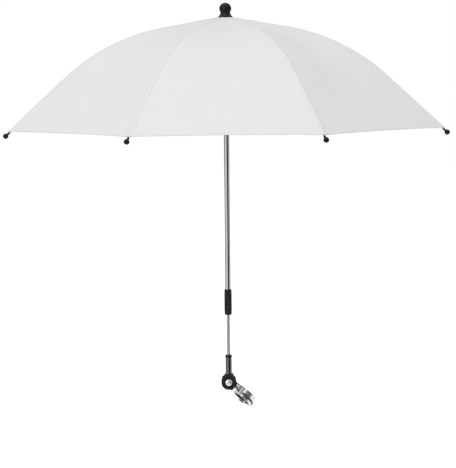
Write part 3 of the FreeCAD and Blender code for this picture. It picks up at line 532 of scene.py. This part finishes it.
def seam_shape(s, across):
    """Distance aside and rise of the felled seam: a low crest with its edges turned down."""
    aside = min(abs(across) * seam_half, seam_most_share * half_width(s))
    crest = seam_crest * (1 - across ** 2) - seam_edge_drop * across ** 8
    ripple = seam_ripple * math.sin(s / seam_wave) * abs(across)
    return aside, seam_rise + crest + ripple


patch_from, patch_taper, patch_to, patch_rise, patch_thickness = 0.0062, 0.044, 0.064, 0.00212, 0.00015
patch_lap, patch_end_share, patch_most_share = 0.0004, 0.3, 0.98
patch_columns, patch_rows = 8, 30
rib_fold = math.radians(60.0)


def patch_shape(s, across):
    """Distance aside and rise of the crown patch, wide enough to reach its neighbours when folded."""
    folded_slope = slope_in + rib_fold
    folded_radius = hinge_radius + s * math.cos(folded_slope) + patch_rise * math.sin(folded_slope)
    lean = math.tan(gore_turn / 2)
    folded_half = folded_radius * lean / (1 + lean ** 2 * math.cos(rib_fold))
    narrowing = (1 - patch_end_share) * max(s - patch_taper, 0.0) / (patch_to - patch_taper)
    half = min((folded_half + patch_lap) * (1 - narrowing), patch_most_share * half_width(s))
    aside = abs(across) * half
    share = aside / half_width(s)
    return aside, patch_rise + cloth_lift(s, aside, share, rim_run(share))


# Stitches: short stitches of white thread, one row along the hem and two along each seam.
# Each is a small drawn-out ball half sunk in the cloth.
thread_white, cotton = start_finish("thread_white", (0.84, 0.84, 0.83), 0.0, 0.6)
shade(thread_white, cotton, grain(thread_white, 2500.0, 3.0), (0.78, 0.78, 0.77), (0.88, 0.88, 0.87))
polish(thread_white, cotton, grain(thread_white, 1800.0), 0.5, 0.75)
relief(thread_white, cotton, grain(thread_white, 5200.0, 2.0, (1.0, 1.0, 0.4)), 0.00005)
stitch_half, stitch_step, stitch_thick, stitch_lift = 0.0011, 0.0030, 0.00022, 0.00012
hem_row_share, seam_row_share = 0.8, 0.6
hem_stitch_ends, seam_stitch_ends = (0.3, 0.7), (0.15, 0.85)


def stitch(bm, a, b):
    """One short stitch of thread lying between two points."""
    along = (b - a).normalized()
    turn = Vector((1, 0, 0)).rotation_difference(along).to_matrix().to_4x4()
    size = Matrix.Diagonal((stitch_half, stitch_thick, stitch_thick, 1.0))
    bmesh.ops.create_icosphere(bm, subdivisions=1, radius=1.0,
                               matrix=Matrix.Translation((a + b) / 2) @ turn @ size)


def hem_stitches(k, side):
    """Row of stitches along the upper edge of the hem."""
    bm = bmesh.new()
    count = int(half_width(rim_run(1.0)) / stitch_step)
    for i in range(count):
        ends = []
        for j in hem_stitch_ends:
            share = (i + j) / count
            rim = rim_run(share)
            s = rim - hem_row_share * hem_width
            aside = share * half_width(s)
            ends.append(cloth_point(s, aside, side, cloth_rise + cloth_lift(s, aside, share, rim)))
        stitch(bm, *ends)
    bmesh.ops.transform(bm, matrix=to_row(k), verts=bm.verts[:])
    return piece(f"hem_stitches_{k}_{side_names[side]}", bm, thread_white, f"rib_{k}")


def seam_stitches(k):
    """Two rows of stitches that hold the felled seam down."""
    bm = bmesh.new()
    first = seam_start + stitch_step
    aside = seam_row_share * seam_half
    for i in range(int((rim_run(0.0) - first) / stitch_step)):
        for side in (-1, 1):
            ends = [cloth_point(first + (i + j) * stitch_step, aside, side, seam_rise + stitch_lift)
                    for j in seam_stitch_ends]
            stitch(bm, *ends)
    bmesh.ops.transform(bm, matrix=to_row(k), verts=bm.verts[:])
    return piece(f"seam_stitches_{k}", bm, thread_white, f"rib_{k}")


# Ties: turns of the same thread wound by hand round the rib at two places on its length,
# and round the tip's neck, where they hold the cloth's corner.
turn_half, turn_step, turn_lean, turn_facets, turn_steps = 0.00025, 0.00048, 0.12, 12, 24
tip_tie_back, tip_tie_radius, tip_tie_turns = 0.0093, 0.00182, 4
rib_tie_starts, rib_tie_radius, rib_tie_turns = (0.085, 0.275), 0.00205, 3


def ties(name, k, starts, radius, count):
    """Turns of thread side by side round a rib, from each of some lengths along it."""
    bm = bmesh.new()
    angles = [2 * math.pi * facet / turn_facets for facet in range(turn_facets + 1)]
    section = [(radius + turn_half * math.cos(a), turn_half * math.sin(a)) for a in angles]
    for start in starts:
        for number in range(count):
            r, z, slope = rib_line(start + number * turn_step)
            lean = Matrix.Rotation(math.pi / 2 + slope + turn_lean * (-1) ** number, 4, "Y")
            loop = turned(section, (0, 0, 0), (0, 0, 1), turn_steps)
            place = to_row(k) @ Matrix.Translation((r, 0, z)) @ lean
            bmesh.ops.transform(loop, matrix=place, verts=loop.verts[:])
            loop_mesh = bpy.data.meshes.new("turn")
            loop.to_mesh(loop_mesh)
            loop.free()
            bm.from_mesh(loop_mesh)
            bpy.data.meshes.remove(loop_mesh)
    return piece(name, bm, thread_white, f"rib_{k}")


# Making up: each rib gets its seam, ties and two half gores, which ride on the rib.
fold_from, fold_tilt, fold_keep, fold_lean = 0.005, -0.13, 0.45, math.radians(26.8)
for k in ribs:
    turn = to_row(k)
    hold = turn @ cloth_point(fold_from, 0.0, 1, cloth_rise)
    tied = [rib_strip(f"seam_{k}", k, seam_columns, seam_rows, seam_start, rim_run(0.0), seam_shape,
                      seam_thickness),
            seam_stitches(k),
            rib_strip(f"crown_patch_{k}", k, patch_columns, patch_rows, patch_from, patch_to, patch_shape,
                      patch_thickness),
            ties(f"tip_thread_{k}", k, [tip_run - tip_tie_back], tip_tie_radius, tip_tie_turns),
            ties(f"rib_ties_{k}", k, rib_tie_starts, rib_tie_radius, rib_tie_turns)]
    for side in side_names:
        cloth = half_gore(k, side)
        stitches = hem_stitches(k, side)
        for soft in (cloth, stitches):
            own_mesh(soft)
        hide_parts(f"canopy_panel_{k}")

# Stage: a pale floor well below the clamp, three dark cards that only show as reflections, a white surround,
# a soft key light from the front left, and weaker lights from the right and from above.


def seen_rays(made):
    """1 for rays that show a backdrop: straight from the camera, mirrored, or through glass."""
    rays = node(made, "ShaderNodeLightPath")
    total = rays.outputs["Is Camera Ray"]
    for kind in ("Is Glossy Ray", "Is Transmission Ray"):
        add = node(made, "ShaderNodeMath", operation="ADD", use_clamp=True)
        link(made, total, add.inputs[0])
        link(made, rays.outputs[kind], add.inputs[1])
        total = add.outputs["Value"]
    return total


def board(name, half_size, place, finish):
    """Flat board of the stage, made in its place."""
    bm = bmesh.new()
    bmesh.ops.create_grid(bm, x_segments=1, y_segments=1, size=1.0)
    bmesh.ops.scale(bm, vec=(*half_size, 1.0), verts=bm.verts[:])
    bmesh.ops.transform(bm, matrix=place, verts=bm.verts[:])
    mesh = bpy.data.meshes.new(name)
    bm.to_mesh(mesh)
    bm.free()
    mesh.materials.append(finish)
    made = bpy.data.objects.new(name, mesh)
    bpy.context.scene.collection.objects.link(made)
    return made


white = (1.0, 1.0, 1.0, 1.0)
floor_grey, floor_glow_level = (0.7, 0.7, 0.7, 1.0), 0.76
floor_level, floor_half = -1.9, (30.0, 30.0)
floor_white = bpy.data.materials.new("floor_white")
floor_white.use_nodes = True
floor_white.node_tree.nodes.clear()
floor_out = node(floor_white, "ShaderNodeOutputMaterial")
floor_matt = node(floor_white, "ShaderNodeBsdfDiffuse", {"Color": floor_grey})
floor_glow = node(floor_white, "ShaderNodeEmission", {"Color": white})
floor_sum = node(floor_white, "ShaderNodeAddShader")
glow_level = node(floor_white, "ShaderNodeMath", {1: floor_glow_level}, operation="MULTIPLY")
link(floor_white, seen_rays(floor_white), glow_level.inputs[0])
link(floor_white, glow_level.outputs["Value"], floor_glow.inputs["Strength"])
link(floor_white, floor_matt.outputs["BSDF"], floor_sum.inputs[0])
link(floor_white, floor_glow.outputs["Emission"], floor_sum.inputs[1])
link(floor_white, floor_sum.outputs["Shader"], floor_out.inputs["Surface"])
board("floor", floor_half, Matrix.Translation((0, 0, floor_level)), floor_white)

card_dark = start_finish("card_dark", (0.01, 0.01, 0.01), 0.0, 0.9)[0]
card_half, card_away, card_level = (1.5, 1.6), 2.4, 0.3
for name, bearing_deg in (("card_front", 33.0), ("card_right", 132.0), ("card_left", -132.0)):
    bearing = Matrix.Rotation(math.radians(bearing_deg), 4, "Z")
    upright = Matrix.Translation((0, -card_away, card_level)) @ Matrix.Rotation(math.pi / 2, 4, "X")
    card = board(name, card_half, bearing @ upright, card_dark)
    card.visible_camera = False
    card.visible_diffuse = False
    card.visible_shadow = False

lamp_aim = Vector((0, 0, 0.45))
for name, at, size, power in (("key", (-2.0, -2.6, 1.7), 1.8, 38.5), ("fill", (2.4, -2.0, 0.9), 1.6, 17.5),
                              ("top", (-0.3, -0.5, 2.9), 1.6, 12.5)):
    lamp = bpy.data.lights.new(name, "AREA")
    lamp.size = size
    lamp.energy = power
    lamp_stand = bpy.data.objects.new(name, lamp)
    lamp_stand.location = at
    lamp_stand.rotation_euler = (lamp_aim - Vector(at)).to_track_quat("-Z", "Y").to_euler()
    bpy.context.scene.collection.objects.link(lamp_stand)

surround_light, surround_white = 0.545, 1.0
sky = bpy.data.worlds.new("studio")
sky.use_nodes = True
bpy.context.scene.world = sky
glow = sky.node_tree.nodes["Background"]
glow.inputs["Color"].default_value = white
sky_level = node(sky, "ShaderNodeMapRange", {"To Min": surround_light, "To Max": surround_white})
link(sky, seen_rays(sky), sky_level.inputs["Value"])
link(sky, sky_level.outputs["Result"], glow.inputs["Strength"])
bpy.context.scene.view_settings.view_transform = "Standard"

# Camera: in front of the mast and a little below the crown, as the photograph was taken,
# with a slight roll that shares out the mast's and the canopy's lean there.
camera_at, aim_at = Vector((-0.0249, -2.522, 0.5588)), Vector((-0.0249, 0.0, 0.2730))
camera_roll = math.radians(-0.55)
lens = bpy.data.cameras.new("camera")
lens.sensor_width = 36.0
lens.lens = 117.46
camera = bpy.data.objects.new("camera", lens)
look = (aim_at - camera_at).to_track_quat("-Z", "Y").to_matrix().to_4x4()
camera.matrix_world = Matrix.Translation(camera_at) @ look @ Matrix.Rotation(camera_roll, 4, "Z")
bpy.context.scene.collection.objects.link(camera)
bpy.context.scene.camera = camera
